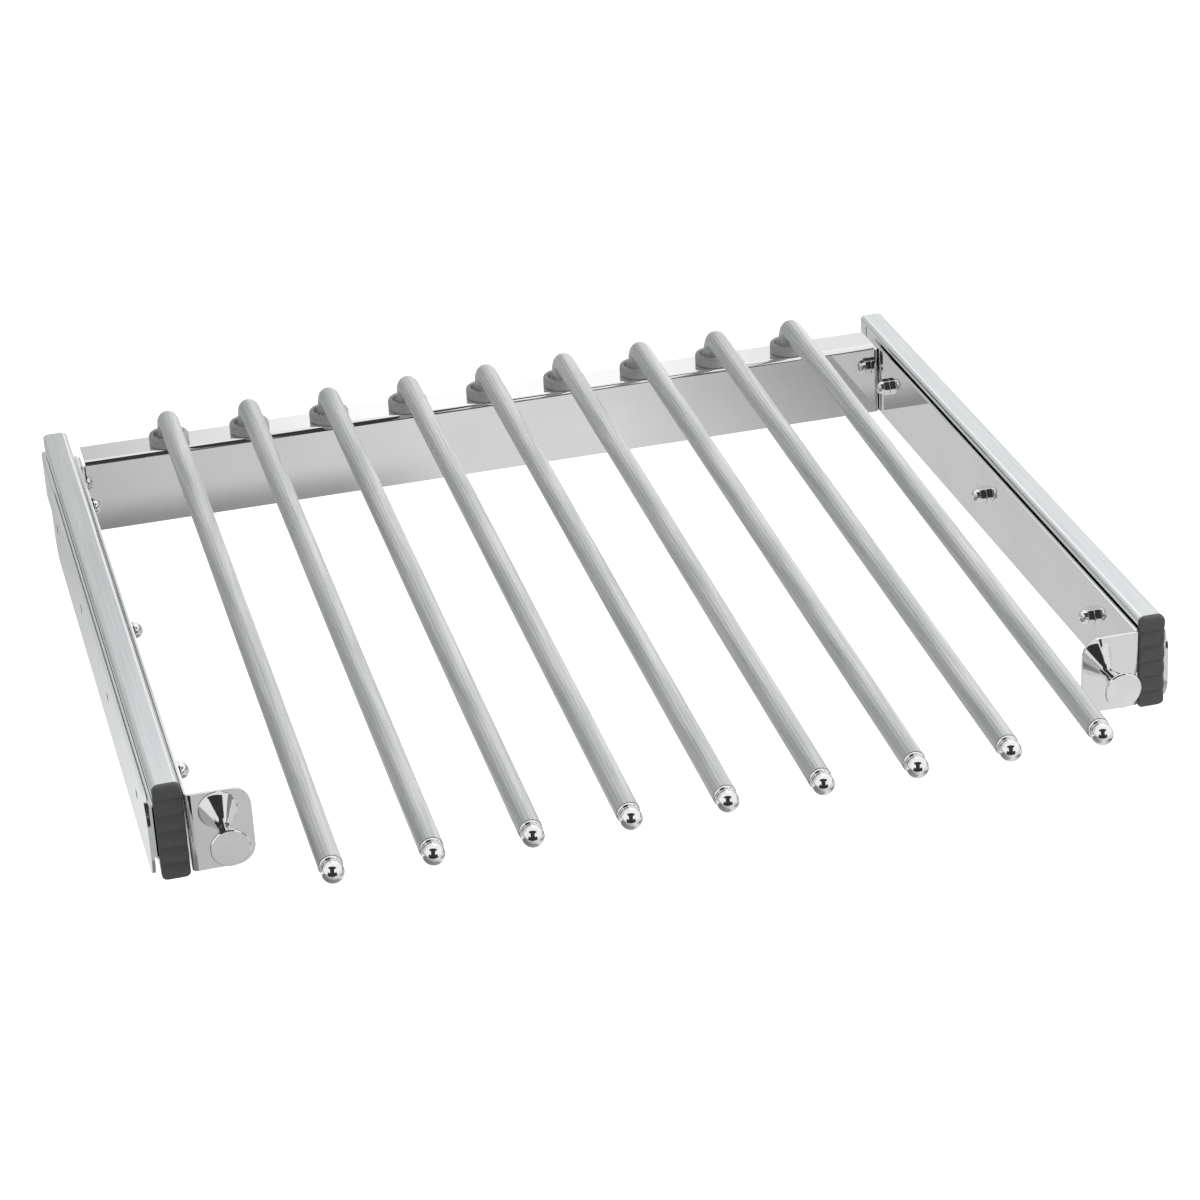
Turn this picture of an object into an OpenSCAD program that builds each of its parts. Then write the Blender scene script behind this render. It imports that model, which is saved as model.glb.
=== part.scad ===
// Pull out trouser rack on two full extension ball bearing rails.
// Front of the rack faces -Y, +X is to the right, +Z is up.
// The origin is half way between the rails, at their front ends and on their screw holes' line.
// All lengths are in millimetres.

/* [Overall] */
// Width over the two mounting plates, which touch the cabinet sides
rack_w = 470; // [440:1:560]
// Length of each telescopic rail
rail_len = 396; // [390:1:440]
// How far the rack pulls out of the cabinet
pull_out = 390; // [300:1:390]

/* [Mounting plates] */
// Thickness of the plate that is screwed to the cabinet side
plate_t = 1.5; // [1.2:0.1:2]
// Height of the mounting plate
plate_h = 39; // [30:1:42]
// Distance of the plate's middle under the rails' centre line
plate_drop = 5.5; // [0:0.1:6]
// Distance of the plate's rear end from the rail's rear end
plate_short = 45; // [30:1:55]
// Radius of the plate's corners
plate_corner_r = 12; // [3:0.5:14]
// Radius of the holes for the cabinet screws
screw_hole_r = 2.25; // [2:0.05:2.4]
// Distance from the rail's front end to the first screw hole
first_hole = 37; // [32:1:37]
// Distance between the screw holes
hole_step = 96; // [64, 96]
// Number of screw holes in each plate
hole_count = 4; // [2:1:4]

/* [Rails] */
// Sheet thickness of all rail members
rail_t = 1.2; // [1:0.05:1.3]
// Depth of the cabinet member's flanges, web included
small_d = 8.7; // [8.6:0.1:9.2]
// Height of the middle member
middle_h = 35.2; // [33:0.1:37]
// Depth of the rack member, over its web and its lips
large_d = 12.2; // [12:0.1:12.6]
// Height of the lips that close the rack member's edges
lip_h = 8.2; // [6:0.1:8.6]
// Outer radius of the rack member's long edges
edge_r = 2.2; // [1.6:0.1:2.4]
// Distance that the cabinet member stands out past the rack member's lips
stand_out = 2; // [1.5:0.1:2.2]
// Width of the small upright slot near the rear end of the rack member's web
slot_w = 2; // [1:0.1:3]
// Height of the slot
slot_h = 6; // [4:0.1:8]
// Distance of the slot's middle from the rail's rear end
slot_back = 9.5; // [6:0.1:14]
// Distance of the slot's middle under the rack member's top
slot_drop = 6; // [5.5:0.1:10]
// Free space between the webs of the middle and the rack member
web_gap = 2; // [1.9:0.05:2.4]
// Distance of the two inner members' front ends behind the rack member's front end
inner_start = 1; // [0.5:0.1:3]
// Depth of the middle member, over its web and its flanges
middle_d = 6.9; // [6.6:0.1:7]

/* [Balls] */
// Radius of the balls between the rack and middle members
outer_ball_r = 2.05; // [1.9:0.05:2.2]
// Radius of the balls between the middle and cabinet members
inner_ball_r = 1.8; // [1.6:0.05:2]
// Depth that a ball track is pressed into a flange
track_depth = 0.25; // [0.1:0.05:0.3]
// Running clearance between a ball and its track
track_clear = 0.05; // [0.03:0.01:0.08]
// Number of balls in each row
ball_count = 13; // [8:1:14]
// Thickness of the strips that keep the balls apart
strip_t = 1; // [0.6:0.1:1.4]
// Width of the strips between the rack and middle members
outer_strip_w = 5.4; // [5:0.1:6]
// Width of the strips between the middle and cabinet members
inner_strip_w = 4.8; // [4.6:0.1:5]
// Free space between a ball and the edge of its hole in the strip
pocket_clear = 0.12; // [0.08:0.01:0.2]
// Space left past the strips' ends when the rack is pulled out
strip_end_gap = 4; // [2:0.5:10]

/* [Frame] */
// Thickness of the chromed sheet
sheet_t = 1.5; // [1.2:0.1:1.8]
// Outer radius of the bends in the sheet
bend_r = 2.5; // [2.2:0.1:3]
// Gap between the rail and the side bar, filled by the spacers
spacer_t = 0.8; // [0.6:0.1:2]
// Height of the side bars' upper edge over the rails' centre line
side_top = 17.8; // [16:0.1:18.4]
// Depth of the frame's lower edge under the rails' centre line
frame_low = 19.6; // [14:0.1:20]
// Height of the rear bar's top over the rails' centre line
rear_top = 19.7; // [19.2:0.1:21]
// Distance of the rear bar's rear edge from the rail's rear end
rear_inset = 16.3; // [10:0.1:30]
// Depth of the rear bar's flat top
flange_d = 20.8; // [20.2:0.1:24]
// Distance of the side bars' rear end from the rear bar's rear edge
side_short = 6; // [5:0.1:10]
// Depth of the rear bar's end tabs, which are welded to the side bars
end_tab_d = 14; // [6:0.5:15]
// Free height over the end tabs, under the rear bar's upper bend
end_tab_gap = 0.2; // [0.1:0.1:1]

/* [Front tabs] */
// Width of a front tab, from the outer face of the side bar
tab_w = 28; // [26:0.1:32]
// Distance of the tab's front face from the rails' front end
tab_out = 4.5; // [3.6:0.1:6]
// Radius of the tab's free corners
tab_corner_r = 9; // [4:0.5:12]
// Width of the stiffening dart pressed into the tab's bend
dart_w = 4; // [2:0.5:6]
// Depth of the dart
dart_d = 1.2; // [0.6:0.1:1.4]

/* [Knobs] */
// Distance of the knob's centre from the outer face of the side bar
knob_in = 15.2; // [13:0.1:16]
// Radius of the knob's flat front
knob_r = 8.7; // [8:0.1:12]
// Length of the knob
knob_len = 18; // [14:0.5:24]
// Radius of the knob's neck
neck_r = 3; // [3:0.1:4]
// Length of the knob's straight neck
neck_len = 2.4; // [1:0.1:4]
// Thickness of the knob's rim
rim_t = 1.4; // [1:0.1:2]
// Width of the bevel behind the rim
rim_bevel = 0.8; // [0.4:0.1:1.2]
// Radius of the screw that holds the knob
knob_screw_r = 2; // [1.5:0.1:2.2]
// How deep the screw goes into the knob
knob_screw_deep = 9; // [6:0.5:11]
// Radius of the knob screw's head
knob_head_r = 3.8; // [3.2:0.1:4.5]
// Height of the knob screw's head
knob_head_h = 2.4; // [1.6:0.1:3]

/* [Rods] */
// Number of rods
rod_count = 9; // [3:1:9]
// Distance between the rods
rod_step = 42.3; // [38:0.1:46]
// Radius of the steel core
core_r = 4; // [3.5:0.1:4.3]
// Wall of the anti-slip sleeve
sleeve_t = 1.35; // [1:0.05:1.4]
// Radius of the bend at the rear, on the rod's middle line
rod_bend_r = 8; // [7.8:0.1:9]
// Height of the rod's middle line over the rear bar, at the top of the bend
rod_rise = 14.6; // [14.5:0.1:17]
// How far the rods dip towards the front, in degrees
rod_dip = 2.7144; // [2.5906, 2.6962, 2.7144, 2.8107]
// Straight length of a rod, from its bend to the middle of its round tip
rod_len = 441.8; // [380:0.1:460]
// Free space under the sleeve's lower end
sleeve_end_gap = 0.3; // [0.2:0.1:0.6]

/* [Rod tips] */
// Radius of the round tip
tip_r = 4.95; // [4.5:0.05:5.2]
// Radius of the collar that meets the sleeve
collar_r = 5; // [4.6:0.05:5.3]
// Length of the collar
collar_len = 2; // [1.2:0.1:3]
// Radius of the neck between the collar and the round tip
tip_neck_r = 4.3; // [3.6:0.1:4.4]
// Distance from the collar's rear face to the middle of the round tip
tip_reach = 6.4; // [5:0.1:7]
// How deep the core goes into the tip
tip_seat = 1.4; // [1:0.1:1.8]

/* [Cups] */
// Outer radius of the cup at the foot of a rod
cup_r = 10.3; // [9:0.1:10.4]
// Height of the cup
cup_h = 5.4; // [5:0.1:8.9]
// Radius of the wide upper part of the cup's bore
cup_bore_r = 7.7; // [6.4:0.1:8]
// Height of the cup's narrow part that holds the sleeve
cup_seat_h = 3; // [2:0.1:4]
// Radius of the rounding on the cup's upper edge
cup_edge_r = 0.9; // [0.6:0.1:1.6]
// Clearance round the sleeve in the cup's narrow part
cup_clear = 0.1; // [0.05:0.05:0.3]

/* [Fasteners] */
// Radius of the frame bolts and of the rod screws
bolt_r = 2; // [1.6:0.1:2.2]
// Clearance round a bolt in its hole
hole_clear = 0.2; // [0.1:0.05:0.4]
// Radius of the frame bolts' flat heads
head_r = 4; // [3.4:0.1:5]
// Height of the frame bolts' flat heads
head_h = 1.5; // [1:0.1:1.6]
// Height of the bolt row over the rails' centre line
bolt_rise = 1.2; // [0:0.1:3]
// Places of the bolts along the rail, as shares of its length from the front
bolt_shares = [0.1235, 0.489, 0.8665];
// Width of the cap nuts over their flats
nut_w = 8; // [7:0.1:9]
// Height of the cap nuts' hexagon
nut_hex_h = 3.4; // [2.4:0.1:4]
// Radius of the cap nuts' dome
nut_dome_r = 3.6; // [3:0.1:3.8]
// How deep a frame bolt goes into its cap nut
nut_deep = 4; // [3.5:0.1:4.4]
// Radius of the spacers between the rail and the side bar
spacer_r = 5; // [4:0.1:6]
// Radius of the heads of the rod screws
rod_head_r = 4.4; // [3.8:0.1:5]
// Height of the heads of the rod screws
rod_head_h = 2.8; // [2:0.1:3.4]
// How deep a rod screw goes into the core
rod_screw_deep = 6; // [4:0.1:6.2]

/* [End caps] */
// How far the cap stands out over and under the rack member
cap_over_h = 0.8; // [0.5:0.1:1.5]
// How far the cap stands out past the rack member's sides
cap_over_w = 0.2; // [0:0.1:0.3]
// Thickness of the cap in the valleys between its waves
cap_t = 1.8; // [1.2:0.1:2.4]
// Number of waves on the cap's face
wave_count = 6; // [3:1:7]
// Height of the waves
wave_h = 0.8; // [0.4:0.1:1]
// Radius of the cap's corners
cap_corner_r = 3; // [1.5:0.1:4]
// Length of the pads that plug into the rail
pad_len = 6; // [3:0.5:8]
// Free space between the pads and the middle member
pad_clear = 0.5; // [0.3:0.1:0.8]

/* [Hidden] */
$fn = 48;

// Overrun of the cuts
over = rail_t;
half_w = rack_w / 2;
// Faces across the rail, as X of the right hand side
small_out = half_w - plate_t;
lip_x = small_out - stand_out;
large_in = lip_x - large_d;
large_web = large_in + rail_t;
middle_in = large_web + web_gap;
middle_out = middle_in + middle_d;
small_in = small_out - small_d;
side_out = large_in - spacer_t;
side_in = side_out - sheet_t;
// Ball rows, as X and as height over the centre line
outer_row_x = (middle_in + middle_out) / 2;
inner_row_x = (middle_in + rail_t + middle_out) / 2;
outer_space = 2 * (outer_ball_r + track_clear - track_depth);
inner_space = 2 * (inner_ball_r + track_clear - track_depth);
// Heights of the rack and cabinet members, which follow from the middle member and the balls
large_h = middle_h + 2 * (outer_space + rail_t);
small_h = middle_h - 2 * (inner_space + rail_t);
outer_row_z = middle_h / 2 + outer_space / 2;
inner_row_z = small_h / 2 + inner_space / 2;
// The strips stay between the members that still overlap when the rack is pulled out
strip_len = rail_len - pull_out / 2 - 2 * strip_end_gap;
ball_step = strip_len / ball_count;
lip_gap_h = large_h / 2 - lip_h;
// Places along the rack, measured from the rails' front end
rear_back = rail_len - rear_inset;
rear_front = rear_back - flange_d;
bend_in_r = bend_r - sheet_t;
rear_half = side_in - bend_r;
side_end = rear_back - side_short;
sleeve_r = core_r + sleeve_t;
// The rod's bend: its middle lies ahead of the cup by the bend's radius
cup_y = rear_back - flange_d / 2;
bend_y = cup_y - rod_bend_r;
bend_z = rear_top + rod_rise - rod_bend_r;
cap_h = large_h + 2 * cap_over_h;
cap_w = large_d + 2 * cap_over_w;
wave_step = cap_h / wave_count;
wave_r = (wave_step * wave_step / 4 + wave_h * wave_h) / (2 * wave_h);
cap_mid_x = lip_x - large_d / 2;
knob_x = side_out - knob_in;
tab_z = (side_top - frame_low) / 2;

// Puts a right hand piece on the right or, mirrored, on the left
module side(left) {
    mirror([left ? 1 : 0, 0, 0]) children();
}

// Runs an outline, drawn as X and height, along the rack from y0 over a length
module along(y0, len) {
    translate([0, y0 + len, 0]) rotate([90, 0, 0]) linear_extrude(len) children();
}

// Rectangle between two corners with round corners of one radius
module round_rect(x0, z0, x1, z1, r) {
    translate([x0 + r, z0]) square([x1 - x0 - 2 * r, z1 - z0]);
    translate([x0, z0 + r]) square([x1 - x0, z1 - z0 - 2 * r]);
    for (x = [x0 + r, x1 - r], z = [z0 + r, z1 - r]) translate([x, z]) circle(r);
}

// Cylinder along X between two places
module bar_x(x0, x1, r) {
    translate([x0, 0, 0]) rotate([0, 90, 0]) cylinder(h = x1 - x0, r = r);
}

module plain_rect(x0, z0, x1, z1) {
    translate([x0, z0]) square([x1 - x0, z1 - z0]);
}

// Screw holes through the mounting plate and the cabinet member
module screw_holes() {
    for (i = [0 : hole_count - 1])
        translate([0, first_hole + i * hole_step, 0])
            bar_x(small_out - rail_t - over, half_w + over, screw_hole_r);
}

module mounting_plate(left) {
    color([0.78, 0.80, 0.81]) side(left) difference() {
        translate([small_out, 0, 0]) rotate([90, 0, 90]) linear_extrude(plate_t)
            translate([0, -plate_drop])
                round_rect(inner_start, -plate_h / 2, rail_len - plate_short, plate_h / 2, plate_corner_r);
        screw_holes();
    }
}

module cabinet_rail(left) {
    color([0.80, 0.80, 0.79]) side(left) difference() {
        along(inner_start, rail_len - inner_start) difference() {
            round_rect(small_in - edge_r, -small_h / 2, small_out, small_h / 2, edge_r - rail_t / 2);
            plain_rect(small_in - edge_r - over, -small_h / 2 - over, small_in, small_h / 2 + over);
            plain_rect(small_in - over, rail_t - small_h / 2, small_out - rail_t, small_h / 2 - rail_t);
            for (s = [-1, 1])
                translate([inner_row_x, s * inner_row_z]) circle(inner_ball_r + track_clear);
        }
        screw_holes();
    }
}

module middle_rail(left) {
    color([0.80, 0.80, 0.79]) side(left) along(inner_start, rail_len - inner_start) difference() {
        round_rect(middle_in, -middle_h / 2, middle_out + edge_r, middle_h / 2, edge_r - rail_t / 2);
        plain_rect(middle_out, -middle_h / 2 - over, middle_out + edge_r + over, middle_h / 2 + over);
        plain_rect(middle_in + rail_t, rail_t - middle_h / 2, middle_out + over, middle_h / 2 - rail_t);
        for (s = [-1, 1]) {
            translate([inner_row_x, s * inner_row_z]) circle(inner_ball_r + track_clear);
            translate([outer_row_x, s * outer_row_z]) circle(outer_ball_r + track_clear);
        }
    }
}

module rack_rail(left) {
    color([0.82, 0.85, 0.86]) side(left) difference() {
        along(0, rail_len) difference() {
            round_rect(large_in, -large_h / 2, lip_x, large_h / 2, edge_r);
            round_rect(large_web, rail_t - large_h / 2, lip_x - rail_t, large_h / 2 - rail_t, edge_r - rail_t);
            plain_rect(lip_x - rail_t - over, -lip_gap_h, lip_x + over, lip_gap_h);
            for (s = [-1, 1])
                translate([outer_row_x, s * outer_row_z]) circle(outer_ball_r + track_clear);
        }
        bolts_at() bar_x(large_in - over, large_web + over, bolt_r + hole_clear);
        translate([large_in - over, rail_len - slot_back - slot_w / 2, large_h / 2 - slot_drop - slot_h / 2])
            cube([rail_t + 2 * over, slot_w, slot_h]);
    }
}

// One strip with a row of round pockets, at a row's place over or under the centre line
module ball_strip(x, z, w, r) {
    difference() {
        translate([x - w / 2, (rail_len - strip_len) / 2, z - strip_t / 2]) cube([w, strip_len, strip_t]);
        row_of_balls() translate([x, 0, z - strip_t]) cylinder(h = 2 * strip_t, r = r + pocket_clear);
    }
}

module row_of_balls() {
    for (i = [0 : ball_count - 1])
        translate([0, (rail_len - strip_len) / 2 + (i + 0.5) * ball_step, 0]) children();
}

module outer_ball_strips(left) {
    color([0.70, 0.71, 0.70]) side(left)
        for (s = [-1, 1]) ball_strip(outer_row_x, s * outer_row_z, outer_strip_w, outer_ball_r);
}

module inner_ball_strips(left) {
    color([0.70, 0.71, 0.70]) side(left)
        for (s = [-1, 1]) ball_strip(inner_row_x, s * inner_row_z, inner_strip_w, inner_ball_r);
}

module outer_balls(left) {
    color([0.86, 0.86, 0.87]) side(left)
        for (s = [-1, 1]) row_of_balls() translate([outer_row_x, 0, s * outer_row_z]) sphere(outer_ball_r);
}

module inner_balls(left) {
    color([0.86, 0.86, 0.87]) side(left)
        for (s = [-1, 1]) row_of_balls() translate([inner_row_x, 0, s * inner_row_z]) sphere(inner_ball_r);
}

// Rubber cap with waves across its face and two pads that plug into the rack member
module end_cap(left) {
    color([0.24, 0.23, 0.23]) side(left) {
        intersection() {
            translate([cap_mid_x - cap_w / 2, 0, 0]) rotate([90, 0, 90]) linear_extrude(cap_w) cap_outline();
            along(-cap_t - wave_h - over, cap_t + wave_h + 2 * over)
                round_rect(cap_mid_x - cap_w / 2, -cap_h / 2, cap_mid_x + cap_w / 2, cap_h / 2, cap_corner_r);
        }
        for (s = [-1, 1]) mirror([0, 0, s < 0 ? 1 : 0])
            translate([outer_row_x - outer_strip_w / 2, 0, middle_h / 2 + pad_clear])
                cube([outer_strip_w, pad_len, outer_space - pad_clear]);
    }
}

// The cap seen from the side, as depth and height
module cap_outline() {
    plain_rect(-cap_t, -cap_h / 2, 0, cap_h / 2);
    for (i = [0 : wave_count - 1]) intersection() {
        plain_rect(-cap_t - wave_h, i * wave_step - cap_h / 2, 0, (i + 1) * wave_step - cap_h / 2);
        translate([wave_r - cap_t - wave_h, (i + 0.5) * wave_step - cap_h / 2]) circle(wave_r, $fn = 96);
    }
}

// A quarter of a bent sheet, standing up, round the middle of its bend
module bend_up(x, y, z0, z1, turn) {
    translate([x, y, z0]) rotate([0, 0, turn]) linear_extrude(z1 - z0) quarter_bend();
}

module quarter_bend() {
    intersection() {
        difference() {
            circle(bend_r);
            circle(bend_in_r);
        }
        square([bend_r, bend_r]);
    }
}

module side_bar(left) {
    color([0.80, 0.80, 0.81]) side(left) difference() {
        union() {
            translate([side_in, bend_r - tab_out, -frame_low])
                cube([sheet_t, side_end - bend_r + tab_out, side_top + frame_low]);
            bend_up(side_out - bend_r, bend_r - tab_out, -frame_low, side_top, -90);
            along(-tab_out, sheet_t) front_tab_outline();
            dart(0);
        }
        dart(1);
        bolts_at() bar_x(side_in - over, side_out + over, bolt_r + hole_clear);
        translate([knob_x, over, tab_z]) rotate([90, 0, 0])
            cylinder(h = tab_out + 2 * over, r = knob_screw_r + hole_clear);
    }
}

// The front tab, square where it meets the bend and round at its free corners
module front_tab_outline() {
    x0 = side_out - tab_w;
    x1 = side_out - bend_r;
    intersection() {
        round_rect(x0, -frame_low, x1 + tab_corner_r, side_top, tab_corner_r);
        plain_rect(x0, -frame_low, x1, side_top);
    }
}

// Stiffening dart across the bend: a ridge behind it (0) and the matching dent before it (1)
module dart(dent) {
    y_in = sheet_t - tab_out;
    reach = bend_r + dart_d;
    shift = dent ? sheet_t : 0;
    translate([side_in + shift, y_in - shift, tab_z]) rotate([0, 0, 90]) linear_extrude(dart_w, center = true)
        polygon([[dent ? -over : -over / 2, dent ? -over : -over / 2],
                 [reach - shift / 2, dent ? -over : -over / 2],
                 [dent ? -over : -over / 2, reach - shift / 2]]);
}

// One end tab of the rear bar, bent back along the side bar's inner face
module rear_end_tab() {
    top = rear_top - bend_r - end_tab_gap;
    bend_up(rear_half, rear_front + bend_r, -frame_low, top, -90);
    translate([side_in - sheet_t, rear_front + bend_r, -frame_low])
        cube([sheet_t, end_tab_d - bend_r, top + frame_low]);
}

// The rear bar's wall and flat top with the bend between them
module rear_angle() {
    translate([-rear_half, 0, 0]) rotate([90, 0, 90]) linear_extrude(2 * rear_half) {
        plain_rect(rear_front, -frame_low, rear_front + sheet_t, rear_top - bend_r);
        plain_rect(rear_front + bend_r, rear_top - sheet_t, rear_back, rear_top);
        translate([rear_front + bend_r, rear_top - bend_r]) mirror([1, 0]) quarter_bend();
    }
}

module rear_bar() {
    color([0.80, 0.80, 0.81]) difference() {
        union() {
            rear_angle();
            for (left = [true, false]) side(left) rear_end_tab();
        }
        for (i = [1 : rod_count]) translate([rod_x(i), cup_y, rear_top - sheet_t - over])
            cylinder(h = sheet_t + 2 * over, r = bolt_r + hole_clear);
    }
}

// The places of the frame bolts on one side
module bolts_at() {
    for (share = bolt_shares) translate([0, share * rail_len, bolt_rise]) children();
}

module spacers(left) {
    color([0.75, 0.75, 0.76]) side(left) bolts_at() difference() {
        bar_x(side_out, large_in, spacer_r);
        bar_x(side_out - over, large_in + over, bolt_r + hole_clear);
    }
}

module frame_bolts(left) {
    color([0.75, 0.75, 0.76]) side(left) bolts_at() {
        bar_x(large_web, large_web + head_h, head_r);
        bar_x(side_in - nut_deep, large_web, bolt_r);
    }
}

// One domed nut, standing up on its seat
module cap_nut() {
    difference() {
        union() {
            cylinder(h = nut_hex_h, r = nut_w / sqrt(3), $fn = 6);
            translate([0, 0, nut_hex_h]) rotate_extrude() intersection() {
                circle(nut_dome_r);
                square([nut_dome_r, nut_dome_r]);
            }
        }
        translate([0, 0, -over]) cylinder(h = nut_deep + over, r = bolt_r);
    }
}

module cap_nuts(left) {
    color([0.82, 0.82, 0.83]) side(left) bolts_at()
        translate([side_in, 0, 0]) rotate([0, -90, 0]) cap_nut();
}

module knob(left) {
    color([0.82, 0.82, 0.83]) side(left) translate([knob_x, -tab_out, tab_z]) rotate([90, 0, 0])
        rotate_extrude() difference() {
            polygon([[0, 0], [neck_r, 0], [neck_r, neck_len],
                     [knob_r - rim_bevel, knob_len - rim_t - rim_bevel],
                     [knob_r, knob_len - rim_t], [knob_r, knob_len], [0, knob_len]]);
            plain_rect(-over, -over, knob_screw_r, knob_screw_deep);
        }
}

module knob_screw(left) {
    color([0.75, 0.75, 0.76]) side(left) translate([knob_x, sheet_t - tab_out, tab_z]) rotate([90, 0, 0]) {
        translate([0, 0, -knob_head_h]) cylinder(h = knob_head_h, r = knob_head_r);
        cylinder(h = sheet_t + knob_screw_deep, r = knob_screw_r);
    }
}

function rod_x(i) = (i - (rod_count + 1) / 2) * rod_step;

// Moves a piece drawn along -Y from the end of the bend to a rod's straight part
module on_rod(i) {
    translate([rod_x(i), bend_y, bend_z]) rotate([rod_dip, 0, 0])
        translate([0, 0, rod_bend_r]) children();
}

// Cylinder along -Y between two distances from the end of the bend
module along_rod(s0, s1, r) {
    translate([0, -s0, 0]) rotate([90, 0, 0]) cylinder(h = s1 - s0, r = r);
}

// A rod's path with one radius: leg, bend and straight part
module rod_path(i, foot, end, r) {
    translate([rod_x(i), cup_y, foot]) cylinder(h = bend_z - foot, r = r);
    translate([rod_x(i), bend_y, bend_z]) rotate([90, 0, 90])
        rotate_extrude(angle = 90 + rod_dip) translate([rod_bend_r, 0]) circle(r);
    on_rod(i) along_rod(0, end, r);
}

module rod_core(i) {
    color([0.82, 0.82, 0.83]) difference() {
        rod_path(i, rear_top, rod_len - tip_reach + tip_seat, core_r);
        translate([rod_x(i), cup_y, rear_top - over])
            cylinder(h = rod_screw_deep + over, r = bolt_r);
    }
}

module rod_sleeve(i) {
    color([0.72, 0.73, 0.72]) difference() {
        rod_path(i, rear_top + sleeve_end_gap, rod_len - tip_reach, sleeve_r);
        rod_path(i, rear_top - over, rod_len, core_r);
    }
}

module rod_tips() {
    color([0.82, 0.82, 0.83]) for (i = [1 : rod_count]) on_rod(i) difference() {
        union() {
            along_rod(rod_len - tip_reach, rod_len - tip_reach + collar_len, collar_r);
            along_rod(rod_len - tip_reach, rod_len, tip_neck_r);
            translate([0, -rod_len, 0]) sphere(tip_r);
        }
        along_rod(rod_len - tip_reach - over, rod_len - tip_reach + tip_seat, core_r);
    }
}

module rod_cups() {
    color([0.52, 0.53, 0.52]) for (i = [1 : rod_count])
        translate([rod_x(i), cup_y, rear_top]) rotate_extrude() difference() {
            union() {
                plain_rect(0, 0, cup_r, cup_h - cup_edge_r);
                plain_rect(0, 0, cup_r - cup_edge_r, cup_h);
                translate([cup_r - cup_edge_r, cup_h - cup_edge_r]) circle(cup_edge_r);
            }
            plain_rect(-over, -over, sleeve_r + cup_clear, cup_seat_h + over);
            plain_rect(-over, cup_seat_h, cup_bore_r, cup_h + over);
        }
}

module rod_screws() {
    color([0.75, 0.75, 0.76]) for (i = [1 : rod_count])
        translate([rod_x(i), cup_y, rear_top - sheet_t]) {
            translate([0, 0, -rod_head_h]) cylinder(h = rod_head_h, r = rod_head_r);
            cylinder(h = sheet_t + rod_screw_deep, r = bolt_r);
        }
}

mounting_plate(true);  // left_mounting_plate
mounting_plate(false);  // right_mounting_plate
cabinet_rail(true);  // left_cabinet_rail
cabinet_rail(false);  // right_cabinet_rail
middle_rail(true);  // left_middle_rail
middle_rail(false);  // right_middle_rail
outer_ball_strips(true);  // left_outer_ball_strips
outer_ball_strips(false);  // right_outer_ball_strips
inner_ball_strips(true);  // left_inner_ball_strips
inner_ball_strips(false);  // right_inner_ball_strips
outer_balls(true);  // left_outer_balls
outer_balls(false);  // right_outer_balls
inner_balls(true);  // left_inner_balls
inner_balls(false);  // right_inner_balls
rack_rail(true);  // left_rack_rail
rack_rail(false);  // right_rack_rail
end_cap(true);  // left_end_cap
end_cap(false);  // right_end_cap
side_bar(true);  // left_side_bar
side_bar(false);  // right_side_bar
rear_bar();
spacers(true);  // left_spacers
spacers(false);  // right_spacers
frame_bolts(true);  // left_frame_bolts
frame_bolts(false);  // right_frame_bolts
cap_nuts(true);  // left_cap_nuts
cap_nuts(false);  // right_cap_nuts
knob(true);  // left_knob
knob(false);  // right_knob
knob_screw(true);  // left_knob_screw
knob_screw(false);  // right_knob_screw
for (i = [1 : rod_count]) rod_core(i);
for (i = [1 : rod_count]) rod_sleeve(i);
rod_tips();
rod_cups();
rod_screws();
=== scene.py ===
# %% [markdown]
# # A pull out trouser rack
#
# The rack is a chromed frame with nine grey sleeved rods, hung between two ball bearing rails.
# Its true sizes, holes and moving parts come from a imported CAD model, which we load as a fixed
# frame. In these cells we give each visible piece its fine shape and its finish: chromed sheet, zinc
# plated rails, ribbed plastic sleeves, moulded cups and rubber end caps.

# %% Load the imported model
import bpy
import bmesh
from math import cos, pi, radians, sin, sqrt
from mathutils import Matrix, Vector


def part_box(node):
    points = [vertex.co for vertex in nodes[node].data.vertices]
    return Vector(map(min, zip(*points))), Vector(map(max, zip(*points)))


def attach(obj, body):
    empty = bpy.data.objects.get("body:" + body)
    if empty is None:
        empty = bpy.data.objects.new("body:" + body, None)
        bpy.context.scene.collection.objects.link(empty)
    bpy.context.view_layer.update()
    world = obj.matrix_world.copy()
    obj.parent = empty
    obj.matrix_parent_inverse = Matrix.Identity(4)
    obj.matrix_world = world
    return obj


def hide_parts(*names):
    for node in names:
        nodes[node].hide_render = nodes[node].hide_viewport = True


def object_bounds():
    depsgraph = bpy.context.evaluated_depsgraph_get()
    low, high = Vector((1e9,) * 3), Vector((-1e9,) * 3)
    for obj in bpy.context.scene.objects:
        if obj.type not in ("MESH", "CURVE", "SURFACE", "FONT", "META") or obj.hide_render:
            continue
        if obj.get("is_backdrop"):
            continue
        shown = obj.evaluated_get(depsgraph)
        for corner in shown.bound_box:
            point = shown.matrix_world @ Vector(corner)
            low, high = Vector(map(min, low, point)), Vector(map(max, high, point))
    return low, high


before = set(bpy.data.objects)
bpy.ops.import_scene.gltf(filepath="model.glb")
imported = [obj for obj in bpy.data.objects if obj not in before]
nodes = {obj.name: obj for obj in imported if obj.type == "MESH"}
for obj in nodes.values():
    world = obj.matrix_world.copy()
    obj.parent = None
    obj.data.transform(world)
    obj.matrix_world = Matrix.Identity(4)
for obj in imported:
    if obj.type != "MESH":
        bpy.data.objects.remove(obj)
cad_low, cad_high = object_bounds()
print("CAD box", tuple(round(v, 4) for v in cad_low), tuple(round(v, 4) for v in cad_high))

# %% [markdown]
# ## The camera
#
# The photograph looks into the rack from the front left and from above. A long lens keeps the far
# end nearly as large as the near end. Blender measures the lens against a 36 mm wide sensor. A
# small sideways shift keeps the rack in the middle of the frame, as in the photograph.

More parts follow.
